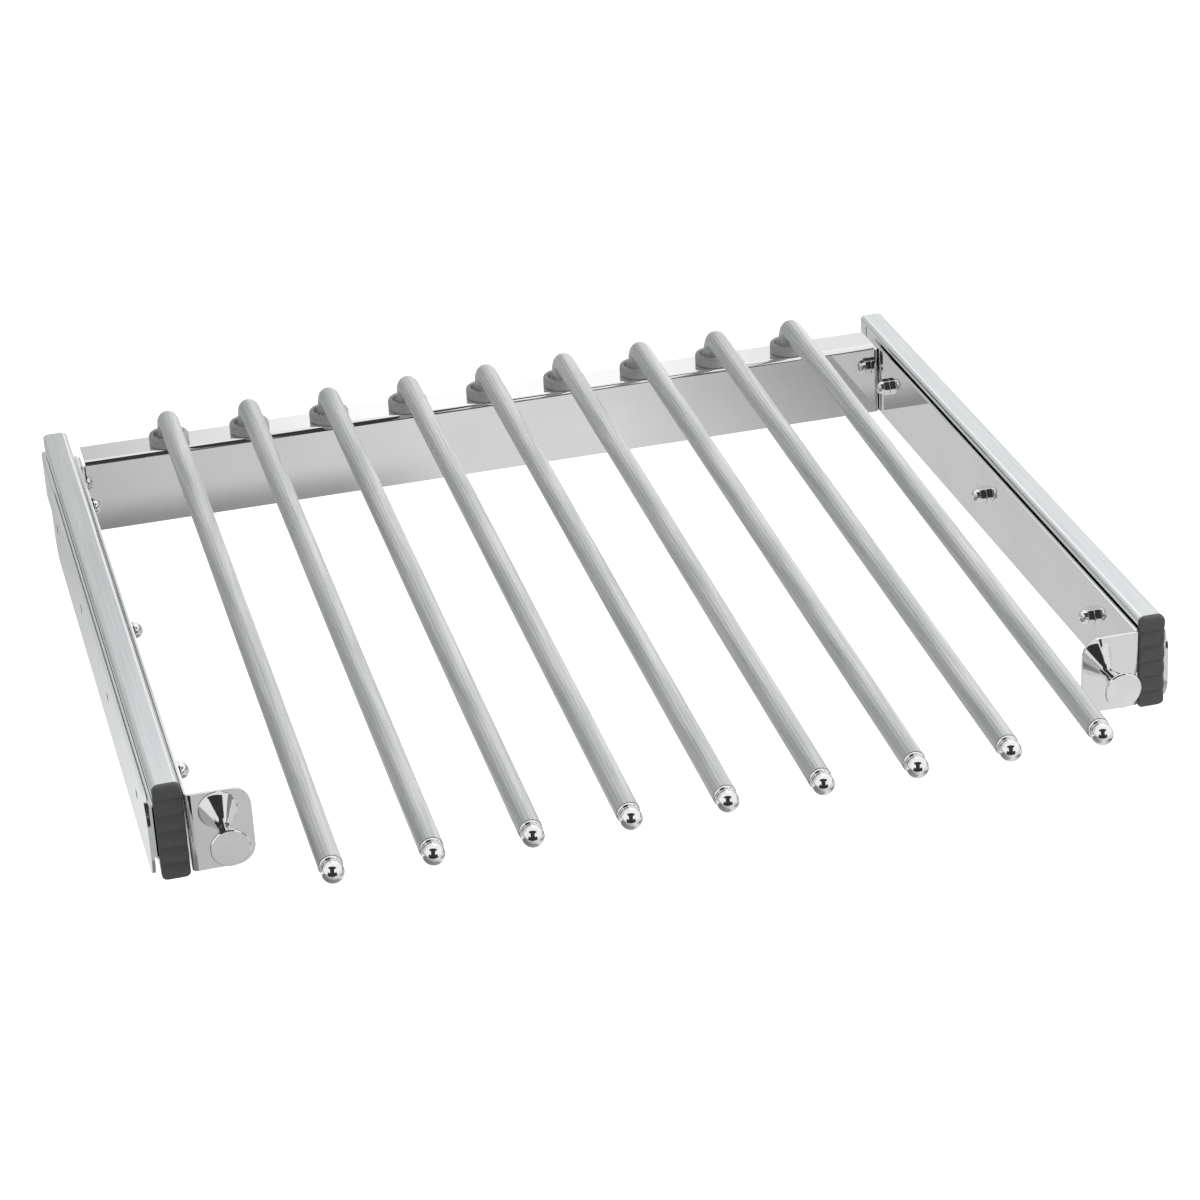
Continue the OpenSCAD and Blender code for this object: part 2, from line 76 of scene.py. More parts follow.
# %% Place the camera
frame_pixels = 1200
pixels_sideways = -100
camera_data = bpy.data.cameras.new("rack_camera")
camera_data.lens = 104.46
camera_data.sensor_width = 36.0
camera_data.shift_x = pixels_sideways / frame_pixels
camera = bpy.data.objects.new("rack_camera", camera_data)
camera.location = (-0.3407, -1.3099, 0.7433)
camera.rotation_euler = (radians(63.525), radians(2.216), radians(-16.228))
bpy.context.scene.collection.objects.link(camera)
bpy.context.scene.camera = camera
bpy.context.scene.view_settings.view_transform = "Standard"
looks_along = camera.rotation_euler.to_matrix() @ Vector((0, 0, -1))
print("camera looks along", tuple(round(v, 3) for v in looks_along))

# %% [markdown]
# ## The studio
#
# Chrome has no colour of its own: it shows what stands around it. The studio is therefore as much a
# part of the picture as the rack. The sky is pale for the camera and for mirrors. A dark opening on
# the camera's side, seen by mirrors only, gives the round ends their dark spots and the bends their
# dark lines. It is wide at its foot and at its top, with a narrow neck between.


# %% Small helpers for shader nodes
grid_rows, grid_step = 6, 220


def add_node(tree, kind, **values):
    """Adds a node and lays it out in columns, so that the tree can be read in the node editor."""
    column, row = divmod(len(tree.nodes), grid_rows)
    made = tree.nodes.new(kind)
    made.location = (column * grid_step, -row * grid_step)
    for key, value in values.items():
        setattr(made, key, value)
    return made


def feed(tree, value, socket):
    """Puts a number on a socket, or links another node's output to it."""
    if isinstance(value, (int, float)):
        socket.default_value = value
    else:
        tree.links.new(value, socket)


def math(tree, operation, first, second, clamp=False):
    """One sum; each side is a number or another node's output."""
    made = add_node(tree, "ShaderNodeMath", operation=operation, use_clamp=clamp)
    for socket, value in zip(made.inputs, (first, second)):
        feed(tree, value, socket)
    return made.outputs[0]


def product(tree, first, *others):
    """Multiplies two or more values."""
    rest = others[0] if len(others) == 1 else product(tree, *others)
    return math(tree, "MULTIPLY", first, rest)


def ramp(tree, value, low, high, start, end):
    """Carries value from the span low to high over to the span start to end, and stops there."""
    made = add_node(tree, "ShaderNodeMapRange")
    for name, number in (("From Min", low), ("From Max", high), ("To Min", start), ("To Max", end)):
        made.inputs[name].default_value = number
    feed(tree, value, made.inputs["Value"])
    return made.outputs["Result"]


def along_axis(tree, vector, axis):
    """How far a vector reaches along an axis."""
    made = add_node(tree, "ShaderNodeVectorMath", operation="DOT_PRODUCT")
    made.inputs[1].default_value = axis
    feed(tree, vector, made.inputs[0])
    return made.outputs["Value"]


def mixed(tree, factor, first, second):
    """Goes from the first value to the second as the factor goes from 0 to 1."""
    made = add_node(tree, "ShaderNodeMix", data_type="FLOAT")
    for name, value in (("Factor", factor), ("A", first), ("B", second)):
        feed(tree, value, made.inputs[name])
    return made.outputs["Result"]


def light(tree, kind, strength, color=(1, 1, 1)):
    """A surface or a sky that shines with one colour."""
    made = add_node(tree, kind)
    made.inputs["Color"].default_value = (*color, 1)
    feed(tree, strength, made.inputs["Strength"])
    return made.outputs[0]


def mixed_shader(tree, factor, first, second):
    made = add_node(tree, "ShaderNodeMixShader")
    for socket, value in zip(made.inputs, (factor, first, second)):
        feed(tree, value, socket)
    return made.outputs[0]


def seen_directly(tree, rays):
    """1 for what the camera sees itself or through something clear, otherwise 0."""
    return math(tree, "MAXIMUM", rays["Is Camera Ray"], rays["Is Transmission Ray"])


print("node helpers ready")

# %% The sky's dark opening
toward_camera = (-0.26, -0.965, 0.0)
across = (0.965, -0.26, 0.0)
sky_strength, sky_color = 0.46, (0.96, 0.985, 1.0)
pale_glow, dark_share = 0.98, 0.04
soft_edge, sill_edge = 0.03, 0.02
world = bpy.data.worlds.new("studio_sky")
bpy.context.scene.world = world
world.use_nodes = True
sky = world.node_tree
sky.nodes.clear()
view_ray = add_node(sky, "ShaderNodeTexCoord").outputs["Generated"]
front = along_axis(sky, view_ray, toward_camera)
to_right = along_axis(sky, view_ray, across)
height = along_axis(sky, view_ray, (0, 0, 1))


def patch(left, right, bottom, top):
    """A part of the dark opening: its sides, left and right of the camera, and its two edges."""
    from_side = ramp(sky, to_right, -left - soft_edge, -left + soft_edge, 0.0, 1.0)
    to_side = ramp(sky, to_right, right - soft_edge, right + soft_edge, 1.0, 0.0)
    over = ramp(sky, height, bottom, bottom + sill_edge, 0.0, 1.0)
    under = ramp(sky, height, top - soft_edge, top + soft_edge, 1.0, 0.0)
    return product(sky, product(sky, from_side, to_side), product(sky, over, under))


low_part = patch(left=0.70, right=0.70, bottom=-1.0, top=0.32)
neck_part = patch(left=0.36, right=0.34, bottom=0.28, top=0.80)
top_part = patch(left=0.60, right=0.58, bottom=0.76, top=1.50)
opening = math(sky, "MAXIMUM", low_part, math(sky, "MAXIMUM", neck_part, top_part))
facing = ramp(sky, front, 0.06, 0.14, 0.0, 1.0)
opening = product(sky, opening, facing)
print("dark opening made of three parts")

# %% [markdown]
# Behind the rack the sky is a card: dim on the left, bright in the middle, a little dimmer again on
# the right and brighter towards its top. As a light the whole sky is soft and dim, and the camera
# sees it white.

# %% The card at the back, and the three faces of the sky
right = along_axis(sky, view_ray, (1, 0, 0))
back = along_axis(sky, view_ray, (0, 1, 0))
card_glow = math(sky, "SUBTRACT", ramp(sky, right, 0.07, 0.15, 0.64, 1.16),
                 ramp(sky, right, 0.20, 0.28, 0.0, 0.25))
lift = ramp(sky, height, 0.45, 0.475, 0.0, 0.24)
all_round = mixed(sky, ramp(sky, back, 0.4, 0.6, 0.0, 1.0), pale_glow,
                  math(sky, "ADD", card_glow, lift))
seen_by_mirrors = product(sky, all_round, ramp(sky, opening, 0.0, 1.0, 1.0, dark_share))
soft_light = light(sky, "ShaderNodeBackground", sky_strength, sky_color)
mirror_light = light(sky, "ShaderNodeBackground", seen_by_mirrors)
white = light(sky, "ShaderNodeBackground", 1.0)
rays = add_node(sky, "ShaderNodeLightPath").outputs
unseen = mixed_shader(sky, rays["Is Glossy Ray"], soft_light, mirror_light)
whole = mixed_shader(sky, seen_directly(sky, rays), unseen, white)
feed(sky, whole, add_node(sky, "ShaderNodeOutputWorld").inputs["Surface"])
print("sky as a light:", sky_strength)

# %% The floor, well below the rack, which hangs in a cabinet
floor_drop, floor_reach = 0.30, 12.0
floor_z = cad_low.z - floor_drop
bm = bmesh.new()
bmesh.ops.create_grid(bm, x_segments=1, y_segments=1, size=floor_reach)
bmesh.ops.translate(bm, verts=bm.verts, vec=(0, 0, floor_z))
floor_mesh = bpy.data.meshes.new("studio_floor")
bm.to_mesh(floor_mesh)
bm.free()
floor = bpy.data.objects.new("studio_floor", floor_mesh)
bpy.context.scene.collection.objects.link(floor)
floor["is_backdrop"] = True
print("floor at", round(floor_z, 3))

# %% [markdown]
# The floor has three faces. As a surface it is matt and pale. The camera sees it with a white glow
# under it, so that it is white but keeps the rack's soft shadow. Mirrors see it as a glowing card
# with
# painted light and shade: darker on the left, a painted shadow under the rack, painted shade far to
# the right, and beyond it a painted dark doorway on the camera's side.

# %% The floor's paint, with painted light and shade for mirrors
floor_white, floor_glow = 0.80, 0.72
floor_paint = bpy.data.materials.new("pale_floor")
floor_paint.use_nodes = True
paint = floor_paint.node_tree
paint.nodes.clear()
spot = add_node(paint, "ShaderNodeTexCoord").outputs["Object"]
x_of = along_axis(paint, spot, (1, 0, 0))
y_of = along_axis(paint, spot, (0, 1, 0))
ahead = along_axis(paint, spot, toward_camera)
aside = math(paint, "ABSOLUTE", along_axis(paint, spot, across), 0.0)
# Painted light and shade for mirrors: the floor's glow is dimmer on the left and brighter at the
# back left.
under_front = ramp(paint, x_of, -0.32, 0.12, 0.44, 0.76)
back_left = product(paint, ramp(paint, x_of, -0.34, -0.22, 0.38, 0.0),
                    ramp(paint, y_of, 0.60, 1.0, 1.0, -0.4))
under_back = math(paint, "ADD", back_left, 0.62)
card = mixed(paint, ramp(paint, y_of, 0.30, 0.50, 0.0, 1.0), under_front, under_back)
# Painted shade for mirrors: a painted shadow under the rack, painted shade far to the right and a
# painted dark doorway dim the floor's glow.
painted_shadow_under_rack = product(paint, ramp(paint, y_of, -0.36, -0.32, 0.0, 0.50),
                     ramp(paint, y_of, 0.30, 0.45, 1.0, 0.0),
                     ramp(paint, x_of, 0.02, 0.10, 1.0, 0.0))
painted_shade_far_right = product(paint, ramp(paint, x_of, 0.24, 0.52, 0.0, 0.74),
                    ramp(paint, y_of, -0.50, -0.42, 0.0, 1.0),
                    ramp(paint, x_of, 0.60, 0.80, 1.0, 0.0))
painted_dark_doorway = product(paint, ramp(paint, ahead, 1.05, 1.15, 0.0, 1.0),
                  ramp(paint, math(paint, "SUBTRACT", aside, ahead), -0.15, 0.0, 0.94, -0.5))
darker = math(paint, "ADD", math(paint, "ADD", painted_shadow_under_rack, painted_shade_far_right), painted_dark_doorway)
shaded = product(paint, card, math(paint, "SUBTRACT", 1.0, darker, clamp=True))
mirror_glow = light(paint, "ShaderNodeEmission", shaded)
matt = add_node(paint, "ShaderNodeBsdfDiffuse")
matt.inputs["Color"].default_value = (floor_white, floor_white, floor_white, 1)
white_glow = light(paint, "ShaderNodeEmission", floor_glow)
both = add_node(paint, "ShaderNodeAddShader")
for socket, value in zip(both.inputs, (matt.outputs[0], white_glow)):
    feed(paint, value, socket)
rays = add_node(paint, "ShaderNodeLightPath").outputs
not_mirrored = mixed_shader(paint, seen_directly(paint, rays), matt.outputs[0], both.outputs[0])
whole = mixed_shader(paint, rays["Is Glossy Ray"], not_mirrored, mirror_glow)
feed(paint, whole, add_node(paint, "ShaderNodeOutputMaterial").inputs["Surface"])
floor.data.materials.append(floor_paint)
print("floor painted")


# %% The lamp
def soft_lamp(name, place, target, size, watts):
    data = bpy.data.lights.new(name, "AREA")
    data.shape = "SQUARE"
    data.size = size
    data.energy = watts
    lamp = bpy.data.objects.new(name, data)
    lamp.location = place
    lamp.rotation_euler = (Vector(place) - Vector(target)).to_track_quat("Z", "Y").to_euler()
    bpy.context.scene.collection.objects.link(lamp)
    lamp.visible_glossy = False
    return lamp


soft_lamp("key_lamp", place=(1.7, 0.1, 1.5), target=(0, 0.15, 0), size=0.9, watts=34)
print("one soft lamp on the right")

# %% [markdown]
# ## Finishes
#
# Every finish is made from noise that reads the object's own coordinates, so it sticks to the metal
# when the rack moves. Numbers that are the same all over a piece go straight on the shader.


# %% A helper that makes a finish
grain_detail = 3.0
tone_places = (0.3, 0.7)


def grey(value):
    return (value, value, value)


def finish(name, color, metallic, roughness, stretch, scale, gloss, tones, relief=None,
           specular=0.5):
    """A material whose tone and gloss follow noise on the object's own coordinates.

    A small stretch value draws the noise out along that axis. gloss holds the least and the most
    roughness, tones the darker and the paler colour, and relief how strongly and by how many metres
    the noise lifts the surface.
    """
    material = bpy.data.materials.new(name)
    material.use_nodes = True
    tree = material.node_tree
    shader = tree.nodes["Principled BSDF"]
    for socket, number in (("Base Color", (*color, 1)), ("Metallic", metallic),
                           ("Roughness", roughness), ("Specular IOR Level", specular)):
        shader.inputs[socket].default_value = number
    coordinates = add_node(tree, "ShaderNodeTexCoord")
    mapping = add_node(tree, "ShaderNodeMapping")
    mapping.inputs["Scale"].default_value = stretch
    feed(tree, coordinates.outputs["Object"], mapping.inputs["Vector"])
    noise = add_node(tree, "ShaderNodeTexNoise")
    noise.inputs["Scale"].default_value = scale
    noise.inputs["Detail"].default_value = grain_detail
    feed(tree, mapping.outputs["Vector"], noise.inputs["Vector"])
    grain = noise.outputs["Fac"]
    feed(tree, ramp(tree, grain, 0.0, 1.0, *gloss), shader.inputs["Roughness"])
    tinted = add_node(tree, "ShaderNodeValToRGB")
    for stop, place, tone in zip(tinted.color_ramp.elements, tone_places, tones):
        stop.position, stop.color = place, (*tone, 1)
    feed(tree, grain, tinted.inputs["Fac"])
    feed(tree, tinted.outputs["Color"], shader.inputs["Base Color"])
    if relief:
        bump = add_node(tree, "ShaderNodeBump")
        for socket, number in zip(("Strength", "Distance"), relief):
            bump.inputs[socket].default_value = number
        feed(tree, grain, bump.inputs["Height"])
        feed(tree, bump.outputs["Normal"], shader.inputs["Normal"])
    return material


print("finish helper ready")

# %% Chrome on sheet and on solid pieces
chrome_sheet = finish("chromed_sheet", grey(0.84), metallic=1.0, roughness=0.05,
                      stretch=(6, 6, 6), scale=4.0,
                      gloss=(0.02, 0.07), tones=(grey(0.82), grey(0.87)))
chrome_solid = finish("chromed_solid", grey(0.86), metallic=1.0, roughness=0.04,
                      stretch=(30, 30, 30), scale=4.0,
                      gloss=(0.02, 0.05), tones=(grey(0.84), grey(0.90)))
print("chrome made")

# %% Zinc plated rails and their small metal pieces
zinc = finish("bright_zinc", (0.76, 0.785, 0.79), metallic=1.0, roughness=0.20,
              stretch=(160, 3, 160), scale=5.0, gloss=(0.07, 0.16),
              tones=((0.72, 0.745, 0.75), (0.80, 0.82, 0.825)), relief=(0.06, 0.00002))
strip_metal = finish("strip_metal", (0.55, 0.56, 0.56), metallic=1.0, roughness=0.35,
                     stretch=(60, 8, 60), scale=6.0,
                     gloss=(0.30, 0.45), tones=((0.48, 0.49, 0.49), (0.58, 0.59, 0.59)))
ball_metal = finish("polished_balls", (0.75, 0.75, 0.76), metallic=1.0, roughness=0.08,
                    stretch=(200, 200, 200), scale=3.0,
                    gloss=(0.05, 0.16), tones=((0.66, 0.65, 0.62), (0.78, 0.78, 0.79)))
bolt_metal = finish("zinc_bolts", (0.60, 0.60, 0.61), metallic=1.0, roughness=0.30,
                    stretch=(300, 300, 300), scale=3.0,
                    gloss=(0.24, 0.42), tones=((0.54, 0.54, 0.55), (0.64, 0.64, 0.65)))
core_metal = finish("plain_rod", grey(0.50), metallic=1.0, roughness=0.35,
                    stretch=(200, 5, 200), scale=4.0,
                    gloss=(0.28, 0.45), tones=(grey(0.45), grey(0.54)))
print("rail metals made")

# %% Plastic and rubber
# The sleeve's two tones, drawn out along the rod by the noise, are partly its own warm grey and
# partly painted reflection: the darker, bluish streaks stand for surroundings mirrored in the satin
# plastic.
sleeve_plastic = finish("sleeve_plastic", (0.62, 0.62, 0.60), metallic=0.0, roughness=0.30,
                        stretch=(70, 1.5, 70), scale=5.0, gloss=(0.20, 0.36),
                        tones=((0.48, 0.495, 0.50), (0.72, 0.72, 0.695)), specular=0.6)
cup_plastic = finish("cup_plastic", (0.41, 0.415, 0.40), metallic=0.0, roughness=0.36,
                     stretch=(400, 400, 400), scale=3.0, gloss=(0.36, 0.50),
                     tones=((0.38, 0.385, 0.37), (0.46, 0.465, 0.45)), relief=(0.2, 0.00003))
cap_rubber = finish("cap_rubber", (0.112, 0.110, 0.109), metallic=0.0, roughness=0.55,
                    stretch=(500, 500, 500), scale=4.0, gloss=(0.48, 0.65),
                    tones=((0.098, 0.096, 0.095), (0.134, 0.131, 0.129)), relief=(0.35, 0.00005))
print("plastic and rubber made")

# %% [markdown]
# ## Helpers for shapes
#
# Each piece starts as a small bmesh shape that operators turn, pull and bevel. A finished piece is
# smooth shaded, except over edges that are sharp on the real one and on its wide plane faces, which
# mirror their surroundings without a bend. Its object stays at the origin.


# %% Turn a bmesh into a piece of the rack
plane_width = 0.0015
weld, fine_weld = 1e-6, 1e-7
same_plane, cut_angle, cut_round = radians(0.6), radians(40), 0.00022


def piece(name, bm, material, body, stands_for, sharp=35.0):
    bmesh.ops.recalc_face_normals(bm, faces=bm.faces)
    for face in bm.faces:
        width = face.calc_area() / max(edge.calc_length() for edge in face.edges)
        face.smooth = width < plane_width
    for edge in bm.edges:
        edge.smooth = edge.is_boundary or edge.calc_face_angle(0.0) < radians(sharp)
    mesh = bpy.data.meshes.new(name)
    bm.to_mesh(mesh)
    bm.free()
    mesh.materials.append(material)
    made = bpy.data.objects.new(name, mesh)
    bpy.context.scene.collection.objects.link(made)
    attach(made, body)
    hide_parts(*stands_for)
    return made


def spun(bm, profile, middle, axis, start, steps):
    """Spins a profile of (radius, distance along the axis) points round the axis through middle."""
    axis = Vector(axis).normalized()
    start = Vector(start).normalized()
    verts = [bm.verts.new(Vector(middle) + start * r + axis * d) for r, d in profile]
    edges = [bm.edges.new(pair) for pair in zip(verts, verts[1:])]
    bmesh.ops.spin(bm, geom=verts + edges, cent=middle, axis=axis, angle=2 * pi, steps=steps,
                   use_merge=True)
    bmesh.ops.remove_doubles(bm, verts=bm.verts, dist=weld)


def rolled_over(bm, edges, width):
    """Bevels edges to a small round."""
    bmesh.ops.bevel(bm, geom=edges, offset=width, offset_type="OFFSET", segments=2, profile=0.5,
                    affect="EDGES", clamp_overlap=True, material=-1)


def quarter_round(radius, height, steps):
    """Profile points from a full radius up to the tip of a dome."""
    angles = [k * pi / 2 / steps for k in range(1, steps)]
    return [(radius * cos(a), height * sin(a)) for a in angles] + [(0.0, height)]


def edged_copy(node, name, material):
    """A copy of a CAD node with its sharp edges rolled over a little, as pressed sheet has them."""
    bm = bmesh.new()
    bm.from_mesh(nodes[node].data)
    bmesh.ops.remove_doubles(bm, verts=bm.verts, dist=weld)
    bmesh.ops.dissolve_limit(bm, angle_limit=same_plane, verts=bm.verts, edges=bm.edges)
    sharp = [e for e in bm.edges if len(e.link_faces) == 2 and e.calc_face_angle(0.0) > cut_angle]
    rolled_over(bm, sharp, cut_round)
    return piece(name, bm, material, "rack", [node], sharp=30.0)


print("shape helpers ready")

# %% [markdown]
# ## The frame
#
# Two side bars and a rear bar are pressed from chromed sheet 1.5 mm thick. Their shape in the CAD
# model is right, so we copy it and only roll the cut edges over: that thin rounding catches the
# light as the bright line along every edge of real chromed sheet.

# %% Side bars and rear bar
for node in ("left_side_bar", "right_side_bar", "rear_bar"):
    made = edged_copy(node, node + "_chromed", chrome_sheet)
    print(made.name, len(made.data.polygons), "faces")

# %% [markdown]
# ## The rods
#
# A rod is a steel core in a plastic sleeve with fine ribs along it, which keep the trousers from
# slipping. A circle whose radius rises and falls gives the ribs. The circle is pulled up the short
# leg, spun round the bend and pulled forwards to the tip.

# %% Measures of the rods, from the CAD model's list of sizes and from its pieces
rod_count = 9
rod_step = 0.0423
dip = radians(2.7144)
bend_radius = 0.008
tip_reach = 0.0048
rod_length = 0.4418
sleeve_radius = 0.00535
flange_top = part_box("rear_bar")[1].z
cup_low, cup_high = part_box("rod_cups")
foot_y = (cup_low.y + cup_high.y) / 2
bend_y = foot_y - bend_radius
bend_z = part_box("rod_sleeve_1")[1].z - sleeve_radius - bend_radius
along = Vector((0, -cos(dip), -sin(dip)))
up = Vector((0, -sin(dip), cos(dip)))
rod_x = [(i - (rod_count - 1) / 2) * rod_step for i in range(rod_count)]
print("rods at", [round(x, 4) for x in rod_x])
print("foot at y", round(foot_y, 4), "bend at z", round(bend_z, 4))

# %% Ribbed sleeves
rib_count = 20
rib_depth = 0.00014
points_per_rib = 4
bend_steps = 14
foot_gap = 0.0003
foot_z = flange_top + foot_gap
for i, x in enumerate(rod_x):
    bm = bmesh.new()
    ring = bmesh.ops.create_circle(bm, cap_ends=True, radius=sleeve_radius,
                                   segments=rib_count * points_per_rib)["verts"]
    for k, vert in enumerate(ring):
        vert.co *= 1 - rib_depth / sleeve_radius * (0.5 - 0.5 * cos(2 * pi * k / points_per_rib))
    bmesh.ops.translate(bm, verts=ring, vec=(x, foot_y, foot_z))
    pulled = bmesh.ops.extrude_face_region(bm, geom=list(bm.faces))
    top = [v for v in pulled["geom"] if isinstance(v, bmesh.types.BMVert)]
    bmesh.ops.translate(bm, verts=top, vec=(0, 0, bend_z - foot_z))
    top_face = [f for f in pulled["geom"] if isinstance(f, bmesh.types.BMFace)]
    bent = bmesh.ops.spin(bm, geom=top_face, cent=(x, bend_y, bend_z), axis=(1, 0, 0),
                          angle=radians(90) + dip, steps=bend_steps)
    end_face = [f for f in bent["geom_last"] if isinstance(f, bmesh.types.BMFace)]
    pulled = bmesh.ops.extrude_face_region(bm, geom=end_face)
    end = [v for v in pulled["geom"] if isinstance(v, bmesh.types.BMVert)]
    bmesh.ops.translate(bm, verts=end, vec=along * (rod_length - tip_reach))
    inner = [f for f in top_face + end_face if f.is_valid]
    bmesh.ops.delete(bm, geom=inner, context="FACES_ONLY")
    bmesh.ops.remove_doubles(bm, verts=bm.verts, dist=fine_weld)
    made = piece(f"ribbed_sleeve_{i + 1}", bm, sleeve_plastic, "rack",
                 [f"rod_sleeve_{i + 1}"], sharp=60)
print("sleeve faces", len(made.data.polygons))

# %% [markdown]
# ## The rod tips
#
# Each rod ends in a turned and chromed tip: a thin collar, a narrow groove and a round nose. One
# profile, spun round the rod's own line, makes all three.

# %% Turned tips
nose = 0.00491
nose_start, nose_steps = -0.515, 16
collar = [(0.0, 0.0), (0.0047, 0.0), (0.0050, 0.0003), (0.00505, 0.0006), (0.0050, 0.0011),
          (0.00475, 0.0014), (0.00435, 0.0015), (0.00430, 0.0020)]
turns = [nose_start + k * (pi / 2 - nose_start) / nose_steps for k in range(nose_steps)]
profile = collar + [(nose * cos(a), tip_reach + nose * sin(a)) for a in turns]
profile.append((0.0, tip_reach + nose))
bm = bmesh.new()
for x in rod_x:
    root = Vector((x, bend_y, bend_z)) + up * bend_radius + along * (rod_length - tip_reach)
    spun(bm, profile, root, along, (1, 0, 0), steps=40)
made = piece("turned_tips", bm, chrome_solid, "rack", ["rod_tips"])
print("tips", len(made.data.polygons), "faces")

# %% [markdown]
# ## The cups
#
# A moulded grey cup stands round the foot of each rod. Its wide bore leaves a dark ring round the
# rod, and its rim has a small step and a rounded edge.

# %% Moulded cups
cup_radius = (cup_high.x - cup_low.x - (rod_count - 1) * rod_step) / 2
cup_height = cup_high.z - cup_low.z
foot_bore, wide_bore, seat_height = 0.00555, 0.0077, 0.0030
foot_round = 0.0004
profile = [(foot_bore, 0.0), (cup_radius - foot_round, 0.0), (cup_radius, foot_round)]
profile += [(cup_radius - inwards, cup_height - down) for inwards, down in
            ((0.0, 0.0012), (0.0003, 0.0005), (0.0008, 0.0001), (0.0012, 0.0))]
profile += [(wide_bore + outwards, cup_height - down) for outwards, down in
            ((0.0005, 0.0), (0.0001, 0.0003), (0.0, 0.0008))]
profile += [(wide_bore, seat_height), (foot_bore, seat_height), (foot_bore, 0.0)]
bm = bmesh.new()
for x in rod_x:
    spun(bm, profile, (x, foot_y, flange_top), (0, 0, 1), (1, 0, 0), steps=48)
made = piece("moulded_cups", bm, cup_plastic, "rack", ["rod_cups"])
print("cups of radius", round(cup_radius, 4), "and height", round(cup_height, 4))

# %% [markdown]
# ## The knobs
#
# The two knobs are turned trumpets: a narrow neck at the tab that flares to a flat disc. The tab
# mirrors them.

# %% Turned knobs
neck, neck_length = 0.0030, 0.0022
disc_thick, disc_round, edge_round = 0.0014, 0.0003, 0.0004
flare, flare_steps = 1.12, 12
for side in ("left", "right"):
    low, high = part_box(side + "_knob")
    radius, length = (high.x - low.x) / 2, high.y - low.y
    profile = [(0.0, 0.0), (neck, 0.0), (neck, neck_length)]
    for k in range(1, flare_steps + 1):
        share = k / flare_steps
        profile.append((neck + (radius - disc_round - neck) * share ** flare,
                        neck_length + (length - disc_thick - neck_length) * share))
    profile += [(radius, length - disc_thick + disc_round), (radius, length - edge_round),
                (radius - edge_round, length), (0.0, length)]
    middle = ((low.x + high.x) / 2, high.y, (low.z + high.z) / 2)
    bm = bmesh.new()
    spun(bm, profile, middle, (0, -1, 0), (1, 0, 0), steps=64)
    made = piece(side + "_turned_knob", bm, chrome_solid, "rack", [side + "_knob"])
    print(made.name, "radius", round(radius, 4), "length", round(length, 4))

# %% [markdown]
# ## The cap nuts
#
# Small domed nuts hold the side bars. A hexagon with bevelled corners is topped by a dome.

# %% Domed nuts
rail_length = 0.396
bolt_shares = (0.1235, 0.489, 0.8665)
hexagon, corner_round = 0.0034, 0.0003
dome, dome_foot, dome_steps = 0.0036, 0.0003, 10
sideways = Matrix.Rotation(pi / 2, 4, "Y")
for side, sign in (("left", -1), ("right", 1)):
    low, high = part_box(side + "_cap_nuts")
    face_x = high.x if sign > 0 else low.x
    reach = high.x - low.x
    bolt_low, bolt_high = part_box(side + "_frame_bolts")
    bolt_z = (bolt_low.z + bolt_high.z) / 2
    corner, rise = (high.z - low.z) / 2, reach - hexagon
    inward = Vector((-sign, 0, 0))
    rounded = quarter_round(dome, rise - dome_foot, dome_steps)
    profile = [(dome, 0.0), (dome, dome_foot)] + [(r, dome_foot + d) for r, d in rounded]
    bm = bmesh.new()
    for share in bolt_shares:
        middle = Vector((face_x, share * rail_length, bolt_z))
        nut = bmesh.ops.create_cone(bm, cap_ends=True, segments=6, radius1=corner, radius2=corner,
                                    depth=hexagon)["verts"]
        place = Matrix.Translation(middle + inward * hexagon / 2) @ sideways
        bmesh.ops.transform(bm, verts=nut, matrix=place)
        rim = [e for e in bm.edges if set(e.verts) <= set(nut)]
        rolled_over(bm, rim, corner_round)
        spun(bm, profile, middle + inward * hexagon, inward, (0, 1, 0), steps=32)
    made = piece(side + "_domed_nuts", bm, chrome_solid, "rack",
                 [side + "_cap_nuts"])
    print(made.name, "stand out", round(reach, 4))

# %% [markdown]
# ## The end caps
#
# Dark rubber caps close the front ends of the rails. Six soft waves run across the face, with
# narrow grooves between them. A grid becomes the face: we round its corners, give each point the
# depth of its wave, turn the rim over a little and pull the whole back to the rail. Two pads behind
# it plug into the rail.

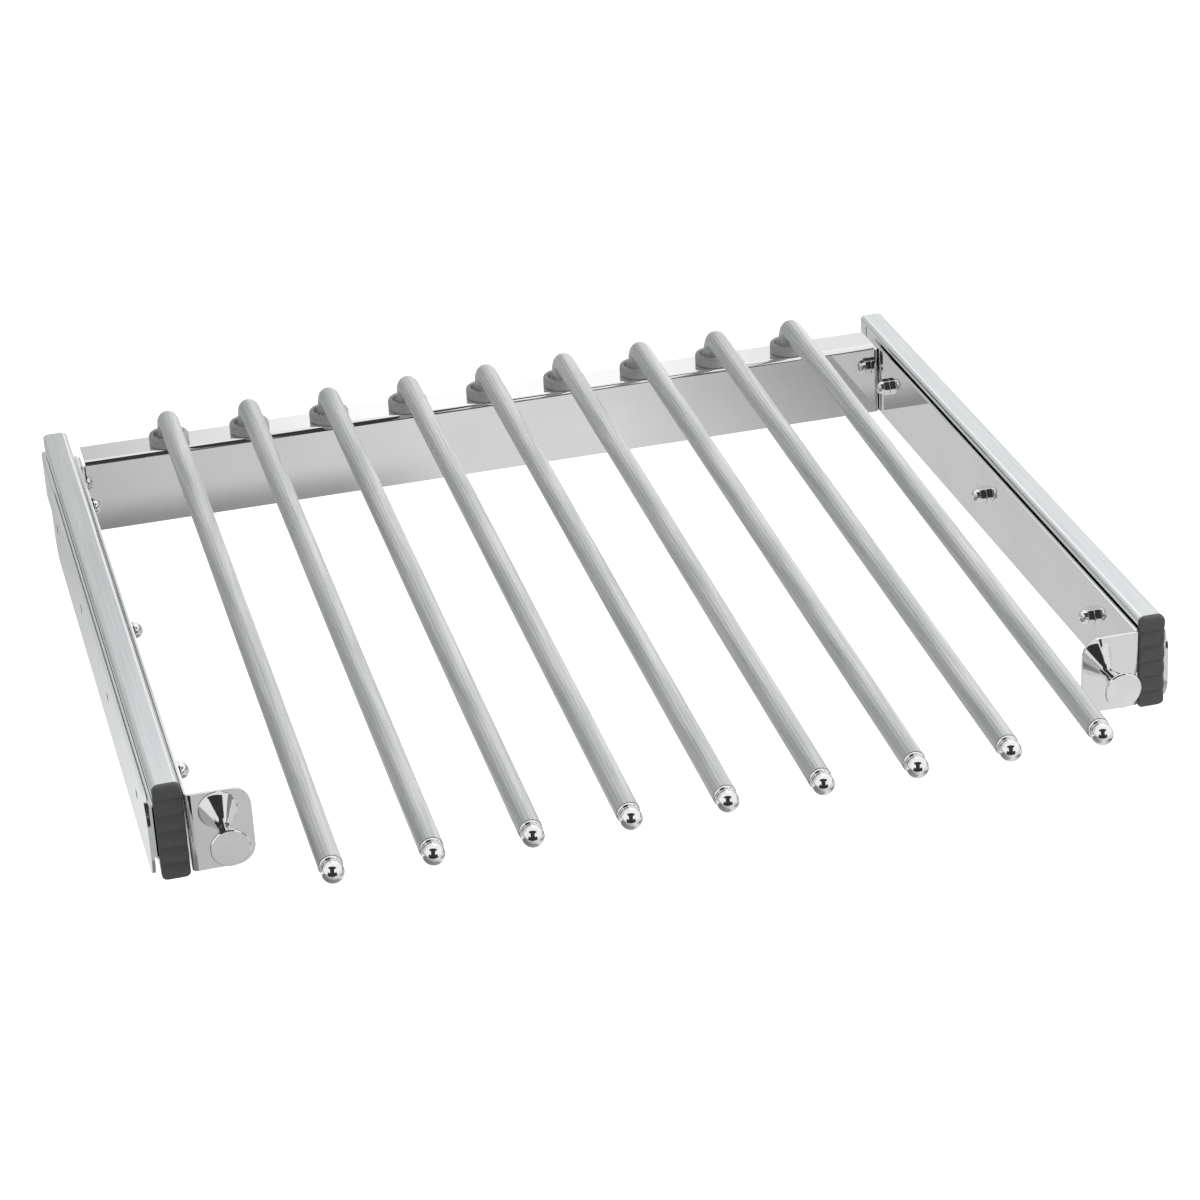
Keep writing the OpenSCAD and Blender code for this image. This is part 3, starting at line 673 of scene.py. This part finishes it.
# %% Rubber caps
cap_corner = 0.003
wave_count = 6
wave_depth, wave_roundness = 0.0010, 0.8
rim = 0.0006
columns, rows = 14, 60
pad_overlap = 0.0005
for side in ("left", "right"):
    low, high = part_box(side + "_end_cap")
    half_width, half_height = (high.x - low.x) / 2, (high.z - low.z) / 2
    middle_x, middle_z = (low.x + high.x) / 2, (low.z + high.z) / 2
    bm = bmesh.new()
    bmesh.ops.create_grid(bm, x_segments=columns, y_segments=rows, size=1.0)
    for vert in bm.verts:
        from_middle = half_width * sin(vert.co.x * pi / 2)
        in_corner = max(abs(from_middle) - (half_width - cap_corner), 0.0)
        limit = half_height - cap_corner + sqrt(max(cap_corner ** 2 - in_corner ** 2, 0.0))
        level = max(-limit, min(limit, vert.co.y * half_height))
        edge = max(min(half_width - abs(from_middle), limit - abs(level), rim), 0.0)
        turn = pi * wave_count * (level + half_height) / (2 * half_height)
        crest = abs(sin(turn)) ** wave_roundness
        depth = wave_depth * (1 - crest) + rim - sqrt(rim ** 2 - (rim - edge) ** 2)
        vert.co = (middle_x + from_middle, low.y + depth, middle_z + level)
    bmesh.ops.remove_doubles(bm, verts=bm.verts, dist=weld)
    pulled = bmesh.ops.extrude_face_region(bm, geom=list(bm.faces))
    for vert in (v for v in pulled["geom"] if isinstance(v, bmesh.types.BMVert)):
        vert.co.y = 0.0
    for sign in (-1, 1):
        behind = [v.co for v in nodes[side + "_end_cap"].data.vertices
                  if v.co.y > pad_overlap and v.co.z * sign > 0]
        near = Vector([min(co[axis] for co in behind) for axis in range(3)])
        far = Vector([max(co[axis] for co in behind) for axis in range(3)])
        near.y = -pad_overlap
        pad = bmesh.ops.create_cube(bm, size=1.0)["verts"]
        bmesh.ops.scale(bm, verts=pad, vec=far - near)
        bmesh.ops.translate(bm, verts=pad, vec=(near + far) / 2)
    closed = all(len(edge.link_faces) == 2 for edge in bm.edges)
    made = piece(side + "_waved_cap", bm, cap_rubber, "rack", [side + "_end_cap"],
                 sharp=50)
    print(made.name, "height", round(2 * half_height, 4), "closed", closed)

# %% [markdown]
# ## The pieces that keep their CAD shape
#
# The rails, balls, strips, bolts and spacers are right as they are. They only get their finish.

# %% Finishes on the CAD pieces
kept = {
    "mounting_plate": zinc, "cabinet_rail": zinc, "middle_rail": zinc, "rack_rail": zinc,
    "ball_strips": strip_metal, "balls": ball_metal, "rod_core": core_metal,
    "spacers": bolt_metal, "frame_bolts": bolt_metal, "knob_screw": bolt_metal,
    "rod_screws": bolt_metal,
}
for name, node in nodes.items():
    for part, material in kept.items():
        if part in name:
            node.data.materials.clear()
            node.data.materials.append(material)
            break
print("finishes given to", sum(any(part in name for part in kept) for name in nodes), "CAD pieces")

# %% Print the visual box, to set beside the CAD box printed at the start
low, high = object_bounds()
print("visual box", tuple(round(v, 4) for v in low), tuple(round(v, 4) for v in high))
